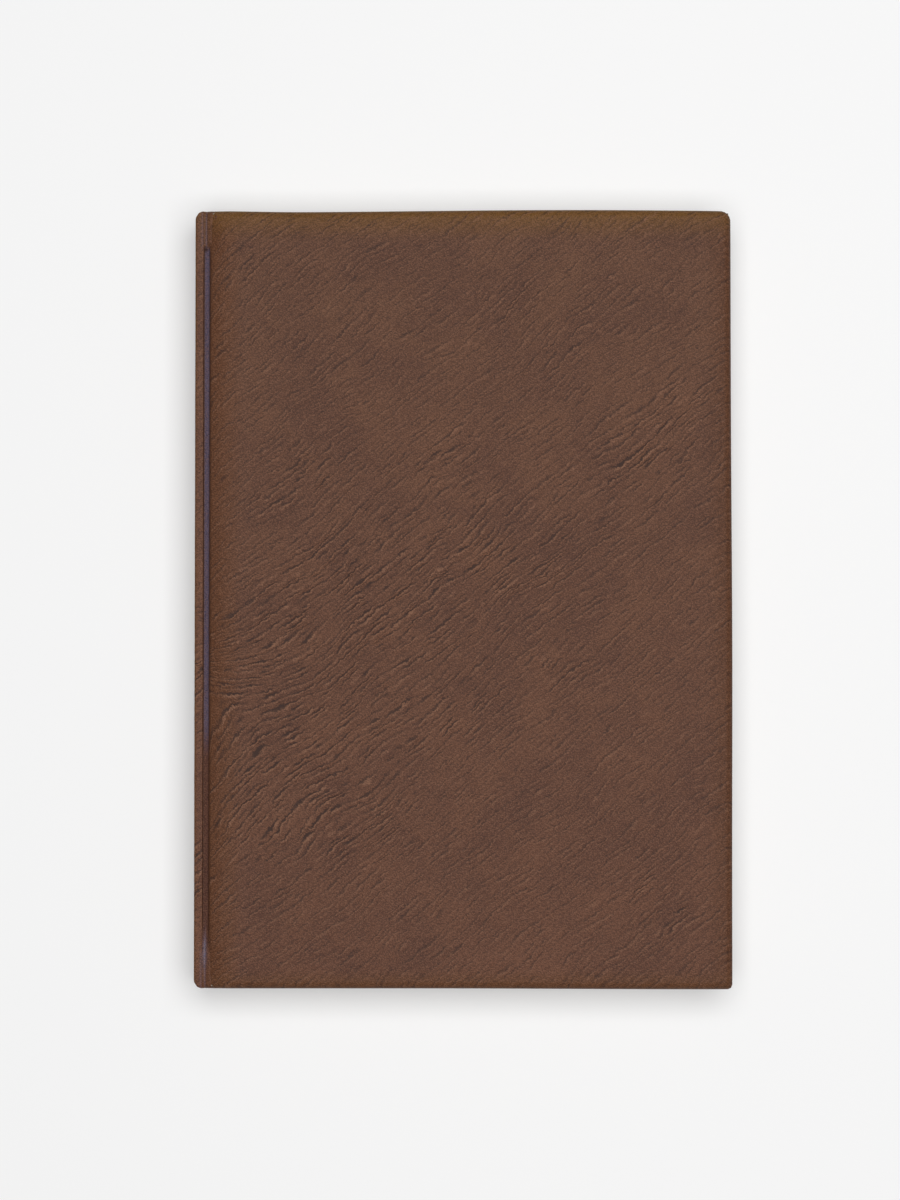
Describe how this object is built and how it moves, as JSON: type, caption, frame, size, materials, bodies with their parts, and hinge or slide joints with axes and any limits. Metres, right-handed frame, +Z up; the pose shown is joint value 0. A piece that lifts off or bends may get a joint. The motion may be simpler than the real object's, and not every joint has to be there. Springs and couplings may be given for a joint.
{
  "type": "padded journal",
  "caption": "Closed case-bound journal with padded faux leather covers, a flat spine and a narrow groove; both covers hinge open.",
  "frame": {"origin": "centre of the closed journal's underside", "axes": "+Z up through the thickness from the back cover to the front cover, +Y from tail to head, +X from spine to fore edge"},
  "size_m": [0.145, 0.21, 0.0198],
  "materials": {
    "leathercloth": "semi-matt brown leathercloth with creased grain",
    "foam": "soft open foam",
    "board": "grey bookbinding board",
    "pages": "uncoated cream paper",
    "endpaper": "heavy uncoated ivory paper",
    "gauze": "open cotton mull",
    "headband": "woven cotton band"
  },
  "bodies": {
    "book_block": {"page_block": "pages", "front_flyleaf": "endpaper", "back_flyleaf": "endpaper", "spine_gauze": "gauze", "head_band": "headband", "tail_band": "headband", "spine_leather": "leathercloth", "spine_board": "board"},
    "front_cover": {"front_leather": "leathercloth", "front_padding": "foam", "front_board": "board", "front_pastedown": "endpaper"},
    "back_cover": {"back_leather": "leathercloth", "back_padding": "foam", "back_board": "board", "back_pastedown": "endpaper"}
  },
  "joints": [
    {"name": "front_cover_hinge", "type": "hinge", "parent": "book_block", "child": "front_cover", "pos_m": [-0.07085, 0, 0.0156], "axis": [0, -1, 0], "range_deg": [0, 178]},
    {"name": "back_cover_hinge", "type": "hinge", "parent": "book_block", "child": "back_cover", "pos_m": [-0.07085, 0, 0.0042], "axis": [0, 1, 0], "range_deg": [0, 178]}
  ]
}
